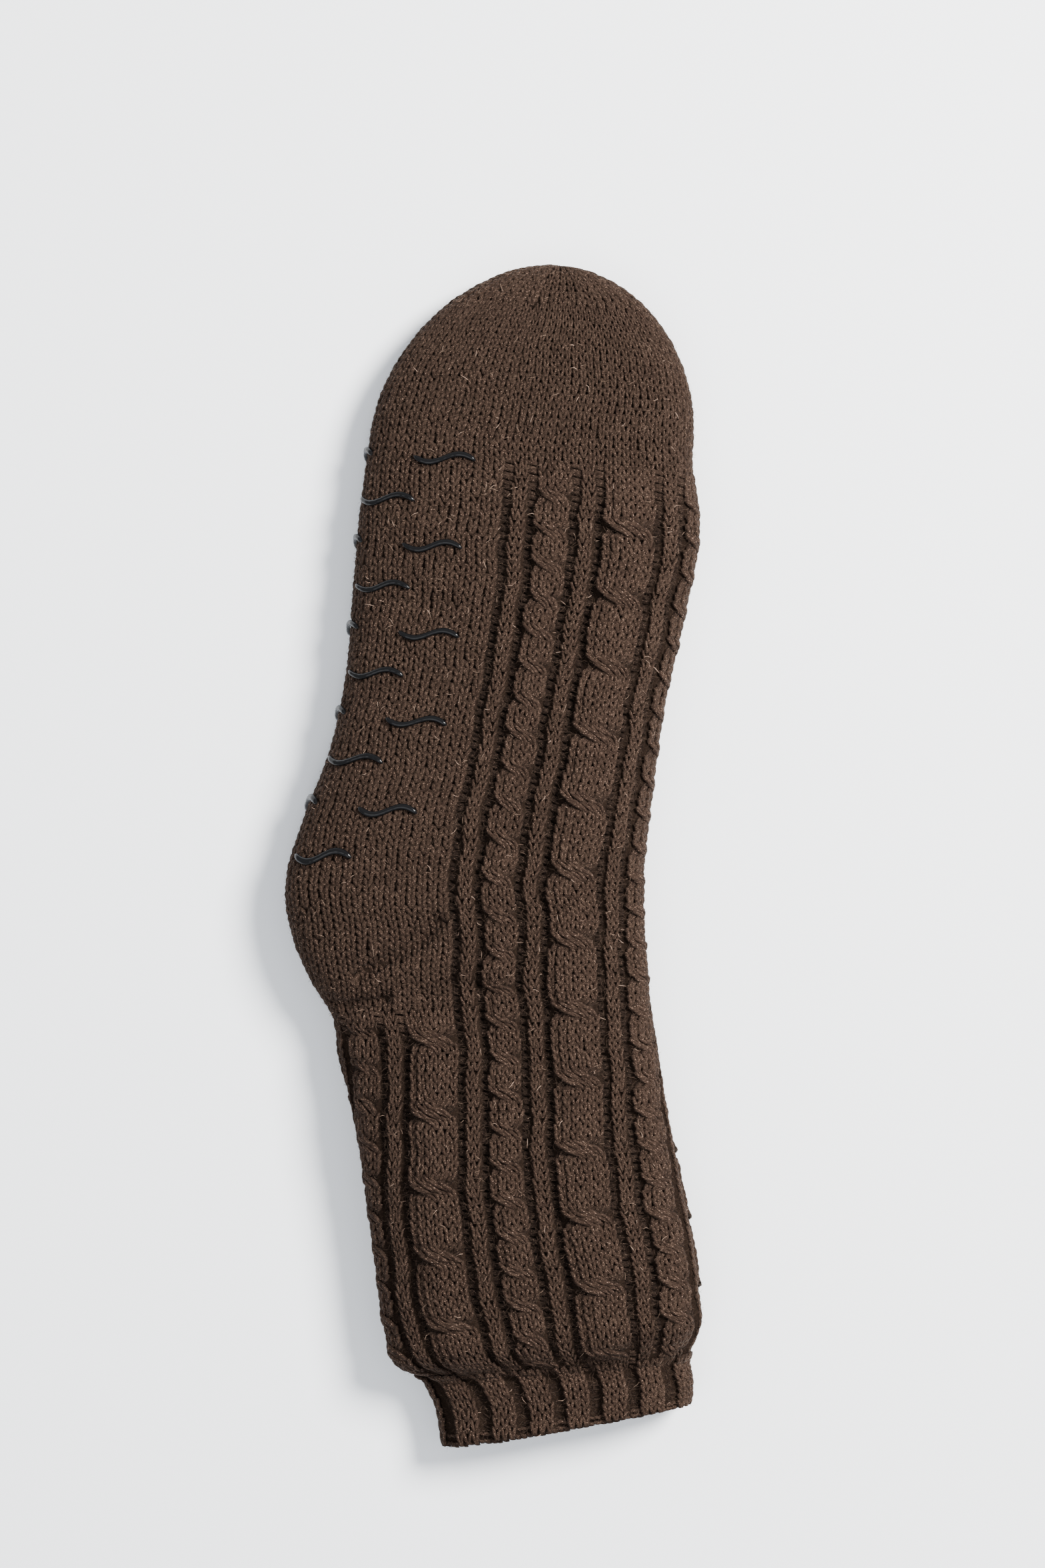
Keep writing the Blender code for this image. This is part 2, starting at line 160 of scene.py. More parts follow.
# Yarn strand, as shares of the stitch it makes
STRAND_RINGS = 5
STRAND_SIDES = 4
STRAND_ARC = (200.0, -20.0)  # in degrees: the underside is open
STRAND_RADIUS = 0.27
PLAIN_RADIUS = 0.235
PURL_RADIUS = 0.30
RADIUS_RANGE = (0.0002, 0.0011)  # in metres
STRAND_SINK = 0.33
V_FOOT = 0.09  # half the gap between the two strands where the V closes
FLARE = 0.31  # how far they part from there
RIB_FLARE = 0.44
PLAIN_FLARE = 0.27
V_LENGTH = 1.28  # in rows
V_LIFT = 0.17
PURL_WIDTH = 1.05
PURL_GAP = 0.26  # half the rows between a purl's two bars, at their ends
PURL_BOW = 0.10
PURL_SLANT = 0.16

# Unevenness of the stitches, as standard deviations
PLACE_JITTER = 0.03
FLARE_JITTER = 0.06
RIB_JITTER = 0.12
ROW_JITTER = 0.05
RADIUS_JITTER = 0.06
HEIGHT_JITTER = 0.00007

# Painted shade on the yarn, as shares of its colour: darker at a strand's ends and sides, behind a crossing
# and in the gutters, where shade falls; plain knitting is also a little darker in colour
END_SHADE = 0.64
BOW_SHADE = 0.40  # added in a strand's middle
SIDE_SHADE = 0.34
TOP_SHARPNESS = 1.2
PLAIN_TONE = 0.92
BEHIND_DARKENING = 0.60
GUTTER_DARKENING = 0.60

# Yarn coordinates of one strand: along it, round it, and how they differ between strands
STRAND_UV = (3.0, 1.6)
UV_SHIFT = 50.0
UV_SKEW = 1.7

FLOOR_SOFTNESS = 0.0011  # height below which yarn and prints are pressed towards the floor

# Backing, the hollow wall under the strands; its much darker yarn is painted shade in the gaps between them
# and inside the sock
BACKING_DEPTH = 0.0005
BACKING_SAG = 0.0010  # how much deeper it lies where it faces up or down
CUFF_SAG = 0.5  # share of that in the cuff
BACKING_ROWS = 170
BACKING_COLUMNS = 180
LINING_ROWS = 100
BACKING_SHORT = 0.0002  # from the collar
BACKING_UV = 1000.0

# Its relief: half widths of the rounded bands, in stitches
BIG_BAND = 3.2
SMALL_BAND = 2.2
RIB_BAND = 1.3
RIB_MIDDLE = 5.0
RIB_BAND_RISE = 1.1
LEAST_RELIEF = 0.0001

# Loose hairs
HAIRS = 46000
HAIR_RISE = (0.15, 0.75)  # share of its length by which a hair stands out
HAIR_LENGTH = (0.0012, 0.0032)
HAIR_HALF_WIDTH = 0.00004
HAIR_TIP = 0.4  # share of that width
HAIR_BEND = 0.5
HAIR_ROOT = 0.0002  # depth in the yarn
HAIR_DROOP = 0.2  # share of its rise that its outer half keeps
HAIR_FREE_TIP = 0.001  # reach at the toe's tip without hairs
HAIR_UV = 60
WIDEST_WALE = 0.0031

# Photo frame: where its middle lies and how much floor it covers
PHOTO_PIXELS = (1568, 2352)
PIXEL = 0.00024
HEEL_PIXEL_Y = 1330
ANKLE_PIXEL_X = 745
CAMERA_HEIGHT = 1.6
SCALE_HEIGHT = 0.013  # height above the floor at which the photo's scale holds

GRID_STEP = 0.001
GRID_ROUND = 720
SECTION_SAMPLES = 480
AHEAD = 0.004  # reach that gives the wall's direction along the sock

# Grip prints, as in the CAD
GRIP_LENGTH = 0.022
GRIP_WIDTH = 0.0022
GRIP_TOP = 0.0011
GRIP_WAVE = 0.0018
GRIP_ROW_PITCH = 0.0160
GRIP_COLUMN_PITCH = 0.038
GRIP_FIRST_ROW = 0.009
GRIP_ROWS = 10
GRIP_COLUMNS = 4
GRIP_STAGGER = 0.25  # columns by which the rows are shifted, to either side
GRIP_STEPS = 28
GRIP_SIDES = 7
GRIP_ARC = (-20, 200)
GRIP_END_ROUNDING = 14
GRIP_LEAST_CAP = 0.02
GRIP_CROWN = 0.0010
GRIP_BASE = 0.0005
GRIP_BUMP = 0.00008
GRIP_BUMPS = 61

# Soft creases of the upper side: photo points, depth and half width in metres
CREASES = (
    (((660, 1380), (632, 1410), (600, 1432), (540, 1462)), 0.0034, 0.0016),
    (((622, 1395), (590, 1428), (552, 1449)), 0.0014, 0.0012),
    (((466, 1492), (520, 1506), (580, 1496)), 0.0033, 0.0014),
    (((498, 1545), (535, 1552), (570, 1546)), 0.0028, 0.0013),
    (((512, 1592), (555, 1596)), 0.0024, 0.0013),
    (((522, 1640), (560, 1646)), 0.0016, 0.0013),
    (((640, 1490), (690, 1470), (740, 1478)), 0.0016, 0.0020),
)

# Slack unevenness, up and sideways: each wave's turn per metre and round, its phase and height
UNEVEN_UP = ((95, 2, 0.0, 0.00028), (61, -3, 1.3, 0.00028), (173, 5, 0.4, 0.000196))
UNEVEN_SIDEWAYS = ((190, 2, 0.0, 0.0003), (330, -3, 1.0, 0.00022))
UNEVEN_FADE = 0.03  # reach over which it grows from the toe's tip

# The slack leg bulges before the cuff draws it in
LIP = 0.0018
LIP_SPREAD = 0.005
LIP_BEFORE_FOLD = 0.003
THROAT = 0.0016
THROAT_SPREAD = 0.003
UNDERSIDE_BULGE = 0.6

chance = np.random.default_rng(7)


def smoothstep(low, high, value):
    """0 below low, 1 above high, soft in between."""
    t = np.clip((value - low) / (high - low), 0.0, 1.0)
    return t * t * (3.0 - 2.0 * t)


def section_table():
    """The sections as rows of sole end, instep end, thickness, front share and spread, toe base first."""
    lengths = {"foot": FOOT_LENGTH, "leg": LEG_LENGTH}
    rows = []
    for values in SECTIONS:
        row = dict(zip(SECTION_COLUMNS, values))
        length = lengths[row["length"]]
        width = WIDTHS[row["width"]]
        rows.append((row["sole_side"] * width, row["sole_along"] * length,
                     row["instep_side"] * width, row["instep_along"] * length,
                     row["high"] * LYING_HEIGHT, row["front"], row["spread"]))
    return np.array(rows)


TABLE = section_table()
MIDDLES = (TABLE[:, 0:2] + TABLE[:, 2:4]) / 2
REACH = np.concatenate(([0.0], np.cumsum(np.hypot(*np.diff(MIDDLES, axis=0).T))))
TOTAL = REACH[-1]
TOE_TIP = np.array((TOE_TIP_SIDE * WIDTHS["foot"], FOOT_LENGTH))
TOE_REACH = float(np.hypot(*(TOE_TIP - MIDDLES[0])))
TANGENTS = np.gradient(TABLE, REACH, axis=0)
NAMES = [row[0] for row in SECTIONS]
CUFF_START = REACH[NAMES.index("cuff_top")]
CUFF_FOLD = REACH[NAMES.index("fold_over")]
HEEL_END = REACH[NAMES.index("ankle")]


def table_at(reach):
    """The table's values at a reach (cubic Hermite)."""
    reach = min(max(reach, 0.0), TOTAL)
    k = min(int(np.searchsorted(REACH, reach, side="right")) - 1, len(REACH) - 2)
    span = REACH[k + 1] - REACH[k]
    t = (reach - REACH[k]) / span
    return ((2 * t**3 - 3 * t**2 + 1) * TABLE[k] + (t**3 - 2 * t**2 + t) * span * TANGENTS[k]
            + (3 * t**2 - 2 * t**3) * TABLE[k + 1] + (t**3 - t**2) * span * TANGENTS[k + 1])


def floor_under(reach, stitch):
    """Height at which ribs and prints hold the plain wall's underside off the floor."""
    leg = smoothstep(HEEL_END + LEG_LIFT[0], HEEL_END + LEG_LIFT[1], reach)
    instep = smoothstep(INSTEP_HALF + INSTEP_LIFT_FADE, INSTEP_HALF, np.abs(stitch))
    cables = np.maximum(leg, instep * smoothstep(0.0, PLAIN_TOE, reach))
    prints = smoothstep(*PRINTS_START, reach) * smoothstep(*PRINTS_END, reach)
    return np.maximum(cables * RIB_RISE, prints * GRIP_TOP)


def section(reach, inset, stitches):
    """Points of the wall's section at these stitches, moved in by inset."""
    row = table_at(reach)
    sole, instep, high, front, spread = row[0:2], row[2:4], row[4], row[5], row[6]
    shrink = 1.0
    if reach < 0:
        share = min(-reach / TOE_REACH, TOE_SEAM)
        shrink = (1 - share**TOE_POWER) ** (1 / TOE_POWER)
        middle = (sole + instep) / 2
        half = (instep - sole) / 2
        middle = middle + (TOE_TIP - middle) * share
        sole = middle - half * shrink
        instep = middle + half * shrink
    under = high * EDGE_SHARE
    over = high - under
    turn = np.linspace(0.0, 2 * math.pi, SECTION_SAMPLES, endpoint=False)
    across = -np.cos(turn)
    rise = np.sin(turn)
    power = np.where(rise >= 0, TOP_POWER, UNDER_POWER)
    across = np.sign(across) * np.abs(across) ** (2 / power)
    rise = np.sign(rise) * np.abs(rise) ** (2 / power)
    width = float(np.hypot(*(instep - sole)))
    x = across * max(width / 2 - inset, LEAST_HALF)
    top = max(over * shrink - inset, LEAST_HALF)
    bottom = max(under * shrink * UNDER_REACH - inset, LEAST_HALF)
    z = under + np.where(rise >= 0, rise * top, rise * bottom)
    x = np.append(x, x[0])
    z = np.append(z, z[0])
    share = np.concatenate(([0.0], np.cumsum(np.hypot(np.diff(x), np.diff(z)))))
    place = stitches * (1 + spread * (1 - (2 * stitches / STITCHES_ROUND) ** 2))
    at = (front + place / STITCHES_ROUND) % 1.0
    px = np.interp(at, share / share[-1], x)
    pz = np.interp(at, share / share[-1], z)
    pz = np.maximum(pz, floor_under(reach, stitches) + inset)
    direction = (instep - sole) / max(width, 1e-9)
    middle = (sole + instep) / 2
    return np.stack((middle[0] + direction[0] * px, middle[1] + direction[1] * px, pz), axis=1)


def find_origin():
    """Where the middle of the CAD box lies, from the heel point on the ankle line."""
    places = np.linspace(-TOE_REACH * TOE_END, TOTAL, BOX_PLACES)
    stitches = np.linspace(-STITCHES_ROUND / 2, STITCHES_ROUND / 2, BOX_STITCHES)
    rim = np.concatenate([section(reach, 0.0, stitches) for reach in places])[:, 0:2]
    return (rim.min(axis=0) + rim.max(axis=0)) / 2


ORIGIN = find_origin()


def from_photo(x, y):
    """A photo point on the floor, in the sock's own frame."""
    return np.array(((x - ANKLE_PIXEL_X) * PIXEL, (HEEL_PIXEL_Y - y) * PIXEL)) - ORIGIN


def distance_to(line, places):
    """Distance of places on the floor plan from a line of points."""
    best = np.full(places.shape[:-1], np.inf)
    for a, b in zip(line, line[1:]):
        along = b - a
        t = np.clip(((places - a) @ along) / (along @ along), 0.0, 1.0)
        near = a + t[..., None] * along
        best = np.minimum(best, np.linalg.norm(places - near, axis=-1))
    return best


def waves(table, reach, turn):
    """Sum of a table's waves along the sock and round it."""
    return sum(height * np.sin(reach * along + turn * around + phase)
               for along, around, phase, height in table)


class Surface:
    """The plain wall's outside as a fine grid over reach and stitch, read by interpolation."""

    def __init__(self):
        self.low = -TOE_REACH * TOE_SEAM
        count = int((TOTAL - self.low) / GRID_STEP) + 1
        self.reaches = np.linspace(self.low, TOTAL, count)
        self.stitches = np.linspace(-STITCHES_ROUND / 2, STITCHES_ROUND / 2, GRID_ROUND, endpoint=False)
        self.points = np.stack([section(r, 0.0, self.stitches) for r in self.reaches])
        self.points[:, :, 0:2] -= ORIGIN
        self.find_normals()
        self.crease()
        self.find_normals()

    def crease(self):
        """Presses the creases and a slack unevenness into the upper side."""
        upper = np.clip(self.normals[:, :, 2], 0.0, 1.0) ** 2
        drop = np.zeros_like(upper)
        for line, depth, spread in CREASES:
            near = distance_to([from_photo(*p) for p in line], self.points[:, :, 0:2])
            drop += depth * np.exp(-((near / spread) ** 2) / 2)
        reach = self.reaches[:, None]
        turn = self.stitches[None, :] / STITCHES_ROUND * 2 * math.pi
        body = smoothstep(self.low, self.low + UNEVEN_FADE, reach)
        uneven = waves(UNEVEN_UP, reach, turn) * body
        self.points[:, :, 2] += (uneven - drop) * upper
        wander = waves(UNEVEN_SIDEWAYS, reach, turn) * body
        sideways = self.around / np.maximum(np.linalg.norm(self.around, axis=2, keepdims=True), 1e-9)
        self.points += sideways * wander[..., None]
        lip = LIP * np.exp(-(((reach - CUFF_FOLD + LIP_BEFORE_FOLD) / LIP_SPREAD) ** 2))
        throat = THROAT * np.exp(-(((reach - CUFF_START) / THROAT_SPREAD) ** 2))
        free = np.clip(self.normals[:, :, 2] + UNDERSIDE_BULGE, 0.0, 1.0)
        self.points += self.normals * ((lip - throat) * free)[..., None]

    def find_normals(self):
        """The step round the section and the unit normal at every grid point."""
        along = np.gradient(self.points, axis=0)
        self.around = (np.roll(self.points, -1, axis=1) - np.roll(self.points, 1, axis=1)) / 2
        normal = np.cross(along, self.around)
        self.normals = normal / np.maximum(np.linalg.norm(normal, axis=2, keepdims=True), 1e-12)

    def read(self, grid, reach, stitch):
        """A grid's value between its points."""
        i = np.clip((reach - self.low) / (TOTAL - self.low), 0, 1) * (len(self.reaches) - 1)
        j = (stitch / STITCHES_ROUND + 0.5) * GRID_ROUND
        i0 = np.minimum(i.astype(int), len(self.reaches) - 2)
        j0 = np.floor(j).astype(int)
        s, t = (i - i0)[..., None], (j - j0)[..., None]
        left, right = j0 % GRID_ROUND, (j0 + 1) % GRID_ROUND
        near = grid[i0, left] * (1 - t) + grid[i0, right] * t
        far = grid[i0 + 1, left] * (1 - t) + grid[i0 + 1, right] * t
        return near * (1 - s) + far * s

    def at(self, reach, stitch):
        """Point and unit normal of the plain wall; past the collar the wall goes straight on."""
        point = self.read(self.points, reach, stitch)
        normal = self.read(self.normals, reach, stitch)
        normal /= np.maximum(np.linalg.norm(normal, axis=-1, keepdims=True), 1e-9)
        beyond = np.clip(reach - TOTAL, 0.0, None)[..., None]
        if beyond.any():
            end = np.full_like(reach, TOTAL)
            ahead = self.read(self.points, end, stitch) - self.read(self.points, end - AHEAD, stitch)
            point = point + ahead / AHEAD * beyond
        return point, normal

    def wale_width(self, reach, stitch):
        """Width of one stitch of the leg's count there."""
        return np.linalg.norm(self.read(self.around, reach, stitch), axis=-1) * GRID_ROUND / STITCHES_ROUND

    def length_along(self, stitch):
        """Lengths from the toe base to each grid row, along one stitch."""
        line = self.at(self.reaches, np.full_like(self.reaches, float(stitch)))[0]
        steps = np.concatenate(([0.0], np.cumsum(np.linalg.norm(np.diff(line, axis=0), axis=1))))
        return steps - np.interp(0.0, self.reaches, steps)


OUTSIDE = Surface()


class Rows:
    """Rows of one kind of fabric, of even height along one stitch of the sock."""

    def __init__(self, stitch, height):
        self.lengths = OUTSIDE.length_along(stitch)
        self.height = height

    def reach(self, row):
        """Where a row lies; past the collar the rows go straight on."""
        beyond = np.clip(row * self.height - self.lengths[-1], 0.0, None)
        return np.interp(row * self.height, self.lengths, OUTSIDE.reaches) + beyond

    def row(self, reach):
        """Which row lies there."""
        return np.interp(reach, OUTSIDE.reaches, self.lengths) / self.height


LEG_ROWS = Rows(0.0, LEG_ROW)
SOLE_ROWS = Rows(SOLE_LINE, SOLE_ROW)
CUFF_ROWS = Rows(0.0, CUFF_ROW)


def signed(stitch):
    """The stitch counted to both sides from the front centre."""
    return (stitch + STITCHES_ROUND / 2) % STITCHES_ROUND - STITCHES_ROUND / 2


def pattern_share(reach, stitch):
    """How far the cables have risen from the plain toe and heel, before they sink again at the cuff."""
    leg = smoothstep(HEEL_END + LEG_RISE[0], HEEL_END + LEG_RISE[1], reach)
    from_heel = np.where(np.abs(signed(stitch)) > INSTEP_HALF, leg, 1.0)
    return from_heel * smoothstep(0.0, PLAIN_TOE, reach) * smoothstep(CUFF_START, CUFF_FOLD, reach)


def crossing(row, own_row, slot, half, window, period, first):
    """Sideways move and lift of a cable's strand at a row: 1 in front, -1 behind, 0 away from a crossing."""
    nearest = first + period * np.round((own_row - first) / period)
    t = np.clip((row - nearest) / window, -1.0, 1.0)
    s = 0.5 + 0.5 * np.sin(t * math.pi / 2)
    before = own_row < nearest
    front = np.where(before, slot < 0, slot > 0)
    step = np.where(front, half, -half)
    move = np.where(before, step * s, -step * (1 - s))
    busy = np.cos(t * math.pi / 2) ** 2
    middle = np.where(slot < 0, -half / 2, half / 2)
    spread = (slot - middle) * CROSSING_SPREAD - (middle + move) * CROSSING_PULL
    return move + spread * busy, np.where(front, busy, -busy)


def cable_height(place, half, over, rise):
    """Rounded across the cable, higher where a strand crosses in front and lower behind."""
    out = np.clip(np.abs(place) / half, 0, CABLE_EDGE)
    rounded = CABLE_CREST - CABLE_FALL * out**CABLE_ROUNDING
    return rise * (rounded + np.where(over > 0, FRONT_LIFT, BEHIND_DROP) * over)


def fabric(row, own_row, stitch, kind):
    """Sideways move in stitches, height in metres and how far behind, for stitches of the leg pattern."""
    repeat = np.round(stitch / REPEAT)
    place = stitch - repeat * REPEAT
    lag = np.where(np.abs(repeat) % 2 == 1, SIDE_CABLE_LAG, 0.0)
    big_move, big_over = crossing(row, own_row, place, BIG_HALF, BIG_WINDOW, BIG_CROSS_ROWS,
                                  FIRST_CROSSING + lag)
    big_high = cable_height(place + big_move, BIG_HALF, big_over, BIG_CABLE_RISE)
    other = place - np.where(place < 0, -1, 1) * REPEAT / 2
    small_move, over = crossing(row, own_row, other, SMALL_HALF, SMALL_WINDOW, SMALL_CROSS_ROWS,
                                FIRST_CROSSING + SMALL_CABLE_LAG)
    small_high = cable_height(other + small_move, SMALL_HALF, over, SMALL_CABLE_RISE)
    zero = np.zeros_like(row)
    big, small, rib = (kind == KINDS[name] for name in ("big", "small", "rib"))
    moves = np.select([big, small], [big_move, small_move], zero)
    highs = np.select([big, small, rib], [big_high, small_high, zero + RIB_RISE], zero - GUTTER_DEPTH)
    behind = np.select([big, small], [-big_over, -over], zero)
    return moves, highs, np.clip(behind, 0.0, 1.0)


class Knit:
    """One region's stitches, gathered until they are made into a mesh."""

    def __init__(self, name):
        self.name = name
        self.parts = []

    def add(self, lines, row, stitch, width, kind, tall=1.0):
        """Lays stitches: row and stitch places, width in stitches, kind, and height in rows."""
        n = len(row)
        own_row = row[:, None, None]
        tall = np.broadcast_to(tall, (n,)).astype(float)[:, None, None]
        width = width[:, None, None]
        t = np.linspace(0.0, 1.0, STRAND_RINGS)[None, None, :]
        side = np.array((-1.0, 1.0))[None, :, None]
        purl = ((kind == KINDS["purl"]) | (kind >= KINDS["cuff_purl"]))[:, None, None]
        rib = (kind == KINDS["rib"])[:, None, None]
        plain = (kind == KINDS["plain"])[:, None, None]
        flare = np.where(rib, RIB_FLARE, np.where(plain, PLAIN_FLARE, FLARE))
        spread = V_FOOT + flare * t * t * (3 - 2 * t)
        x = np.where(purl, (t - 0.5) * PURL_WIDTH, side * spread)
        x = x + chance.normal(0.0, PLACE_JITTER, (n, 1, 1))
        x = x + side * chance.normal(0.0, 1.0, (n, 1, 1)) * np.where(rib, RIB_JITTER, FLARE_JITTER) * t
        arch = np.sin(math.pi * t)
        bars = side * (PURL_GAP + PURL_BOW * arch) + PURL_SLANT * (t - 0.5)
        along = np.where(purl, bars, V_LENGTH * (0.5 - t))
        lift = np.where(purl, PURL_BOW, V_LIFT) * arch
        rho = own_row + along * tall + chance.normal(0.0, ROW_JITTER, (n, 1, 1))
        base = np.broadcast_to(stitch[:, None, None], rho.shape)
        kinds = np.broadcast_to(kind[:, None, None], rho.shape)
        reach = lines.reach(rho)
        share = pattern_share(reach, base)
        share = np.where(kinds == KINDS["cuff_purl"], 1.0, share)
        move, high, behind = fabric(rho, np.broadcast_to(own_row, rho.shape), base, kinds)
        patterned = kinds <= KINDS["purl"]
        move = np.where(patterned, move * np.minimum(share * SWING_GROWTH, 1.0), 0.0)
        high = np.where(patterned, high * share, 0.0)
        high = np.where(kinds == KINDS["cuff"], CUFF_RISE * CUFF_CREST, high)
        high = np.where(kinds == KINDS["cuff_purl"], -GUTTER_DEPTH, high)
        high = np.where(kinds > KINDS["rim"], (KINDS["rim"] - kinds) * RIM_STEP, high)
        place = base + x * width + move
        point, normal = OUTSIDE.at(reach, place)
        metres = OUTSIDE.wale_width(reach, place) * width
        thick = np.where(purl, PURL_RADIUS, np.where(plain, PLAIN_RADIUS, STRAND_RADIUS))
        thick = thick * chance.normal(1.0, RADIUS_JITTER, (n, 1, 1))
        radius = np.clip(metres * thick, *RADIUS_RANGE)
        high = high + chance.normal(0.0, HEIGHT_JITTER, (n, 1, 1))
        centre = point + normal * (high + (lift - STRAND_SINK) * metres)[..., None]
        tangent = np.gradient(centre, axis=2)
        across = np.cross(normal, tangent)
        across /= np.maximum(np.linalg.norm(across, axis=-1, keepdims=True), 1e-9)
        up = np.cross(tangent, across)
        up /= np.maximum(np.linalg.norm(up, axis=-1, keepdims=True), 1e-9)
        # Painted shade: each strand darker at its ends and on its sides, behind a crossing and in the
        # gutters; plain knitting a little darker in colour
        painted_shade = (END_SHADE + BOW_SHADE * arch) * np.where(plain, PLAIN_TONE, 1.0)
        painted_shade = painted_shade * np.where(patterned, 1.0 - BEHIND_DARKENING * behind * share, 1.0)
        gutter = purl & (kinds < KINDS["rim"])
        painted_shade = np.where(gutter, painted_shade * (1.0 - GUTTER_DARKENING * share), painted_shade)
        angle = np.radians(np.linspace(*STRAND_ARC, STRAND_SIDES))[:, None]
        top = np.clip(np.sin(angle[:, 0]) * TOP_SHARPNESS, 0.0, 1.0)
        painted_shade = painted_shade[..., None] * (SIDE_SHADE + (1.0 - SIDE_SHADE) * top)
        verts = (centre[..., None, :] + radius[..., None, None]
                 * (across[..., None, :] * np.cos(angle) + up[..., None, :] * np.sin(angle)))
        shift = chance.uniform(0.0, UV_SHIFT, (n, 2, 1, 1))
        u = t[..., None] * STRAND_UV[0] * tall[..., None] + shift
        v = np.arange(STRAND_SIDES)[None, None, None, :] / STRAND_SIDES * STRAND_UV[1] + shift * UV_SKEW
        shape = verts.shape[:-1]
        uv = np.stack((np.broadcast_to(u, shape), np.broadcast_to(v, shape)), axis=-1)
        self.parts.append((verts.reshape(-1, 3), uv.reshape(-1, 2), np.broadcast_to(painted_shade, shape).ravel()))

    def make(self, material):
        """The gathered stitches as one mesh."""
        verts = np.concatenate([p[0] for p in self.parts])
        uv = np.concatenate([p[1] for p in self.parts])
        painted_shade = np.concatenate([p[2] for p in self.parts])
        block = STRAND_RINGS * STRAND_SIDES
        strands = len(verts) // block
        ring, side = np.meshgrid(np.arange(STRAND_RINGS - 1), np.arange(STRAND_SIDES - 1), indexing="ij")
        first = (ring * STRAND_SIDES + side).ravel()
        quad = np.stack((first, first + 1, first + 1 + STRAND_SIDES, first + STRAND_SIDES), axis=1)
        faces = (np.arange(strands)[:, None, None] * block + quad[None]).reshape(-1, 4)
        return mesh_object(self.name, settle(verts), faces, material, uv, painted_shade)


def settle(verts):
    """Presses what would go under the floor onto it, softly."""
    z = verts[:, 2]
    low = z < FLOOR_SOFTNESS
    verts[low, 2] = FLOOR_SOFTNESS * np.exp((z[low] - FLOOR_SOFTNESS) / FLOOR_SOFTNESS)
    return verts


def mesh_object(name, verts, faces, material, uv=None, painted_shade=None):
    """A smooth mesh in the scene, with yarn coordinates and a painted shade at each vertex if given."""
    mesh = bpy.data.meshes.new(name)
    count, corners = faces.shape
    mesh.vertices.add(len(verts))
    mesh.vertices.foreach_set("co", verts.astype(np.float32).ravel())
    mesh.loops.add(count * corners)
    mesh.loops.foreach_set("vertex_index", faces.astype(np.int32).ravel())
    mesh.polygons.add(count)
    mesh.polygons.foreach_set("loop_start", np.arange(0, count * corners, corners, dtype=np.int32))
    mesh.update(calc_edges=True)
    mesh.polygons.foreach_set("use_smooth", np.ones(count, dtype=bool))
    if uv is not None:
        layer = mesh.uv_layers.new(name="yarn")
        layer.data.foreach_set("uv", uv[faces.ravel()].astype(np.float32).ravel())
        painted_shade_attribute = mesh.attributes.new("painted_shade", "FLOAT", "POINT")
        painted_shade_attribute.data.foreach_set("value", (np.ones(len(verts)) if painted_shade is None else painted_shade).astype(np.float32))
    mesh.validate()
    mesh.materials.append(material)
    obj = bpy.data.objects.new(name, mesh)
    bpy.context.scene.collection.objects.link(obj)
    return obj


def sheet_faces(rows, columns, flipped=False):
    """Quads of a grid that is closed round."""
    i, j = np.meshgrid(np.arange(rows - 1), np.arange(columns), indexing="ij")
    a = (i * columns + j).ravel()
    b = (i * columns + (j + 1) % columns).ravel()
    quads = np.stack((a, b, b + columns, a + columns), axis=1)
    return quads[:, ::-1] if flipped else quads


def band(distance, half):
    """1 in the middle of a rounded band, 0 from its edge on."""
    return np.clip(1 - (distance / half) ** 4, 0, 1)


def leg_relief(reach, stitch):
    """Height of the fabric over the plain wall, from its cables, ribs and gutters."""
    share = pattern_share(reach, stitch)
    place = np.abs(stitch - np.round(stitch / REPEAT) * REPEAT)
    from_small = REPEAT / 2 - place
    big = BIG_CABLE_RISE * band(place, BIG_BAND)
    small = SMALL_CABLE_RISE * band(from_small, SMALL_BAND)
    rib = RIB_RISE * RIB_BAND_RISE * band(np.abs(place - RIB_MIDDLE), RIB_BAND)
    height = np.where(place < BIG_BAND, big, np.where(from_small < SMALL_BAND, small, rib))
    height = np.where(height < LEAST_RELIEF, -GUTTER_DEPTH, height)
    wave = 0.5 + 0.5 * np.cos(2 * math.pi * stitch / CUFF_RIB)
    cuff = smoothstep(CUFF_FOLD, CUFF_START, reach)
    return height * share + CUFF_RISE * wave * cuff


def backing(material):
    """The hollow wall that the strands lie on."""
    columns = BACKING_COLUMNS
    end = TOTAL - BACKING_SHORT
    reaches = np.linspace(OUTSIDE.low, end, BACKING_ROWS)
    stitches = np.linspace(-STITCHES_ROUND / 2, STITCHES_ROUND / 2, columns, endpoint=False)
    reach, stitch = np.meshgrid(reaches, stitches, indexing="ij")
    point, normal = OUTSIDE.at(reach, stitch)
    cuff = smoothstep(CUFF_FOLD, CUFF_START, reach)
    sag = BACKING_SAG * (1 + (CUFF_SAG - 1) * cuff)
    depth = BACKING_DEPTH + sag * normal[..., 2] ** 2
    outer = point + normal * (leg_relief(reach, stitch) - depth)[..., None]
    inner_reaches = np.linspace(-TOE_REACH * TOE_END + WALL, end, LINING_ROWS)
    inner_reach, inner_stitch = np.meshgrid(inner_reaches, stitches, indexing="ij")
    point, normal = OUTSIDE.at(inner_reach, inner_stitch)
    inner = point - normal * WALL
    verts = np.concatenate((outer.reshape(-1, 3), inner.reshape(-1, 3)))
    start = len(reaches) * columns
    faces = [sheet_faces(len(reaches), columns), sheet_faces(len(inner_reaches), columns, True) + start]
    last_outer = (len(reaches) - 1) * columns + np.arange(columns)
    last_inner = start + (len(inner_reaches) - 1) * columns + np.arange(columns)
    faces.append(np.stack((last_outer, np.roll(last_outer, -1), np.roll(last_inner, -1), last_inner), axis=1))
    for first, flipped in ((0, False), (start, True)):
        k = np.arange(columns // 2 - 1) + 1
        ends = np.stack((k, k + 1, columns - 1 - k, columns - k), axis=1) + first
        faces.append(ends if flipped else ends[:, ::-1])
    uv = verts[:, 1::-1] * BACKING_UV
    return mesh_object("sock_backing", settle(verts), np.concatenate(faces), material, uv)


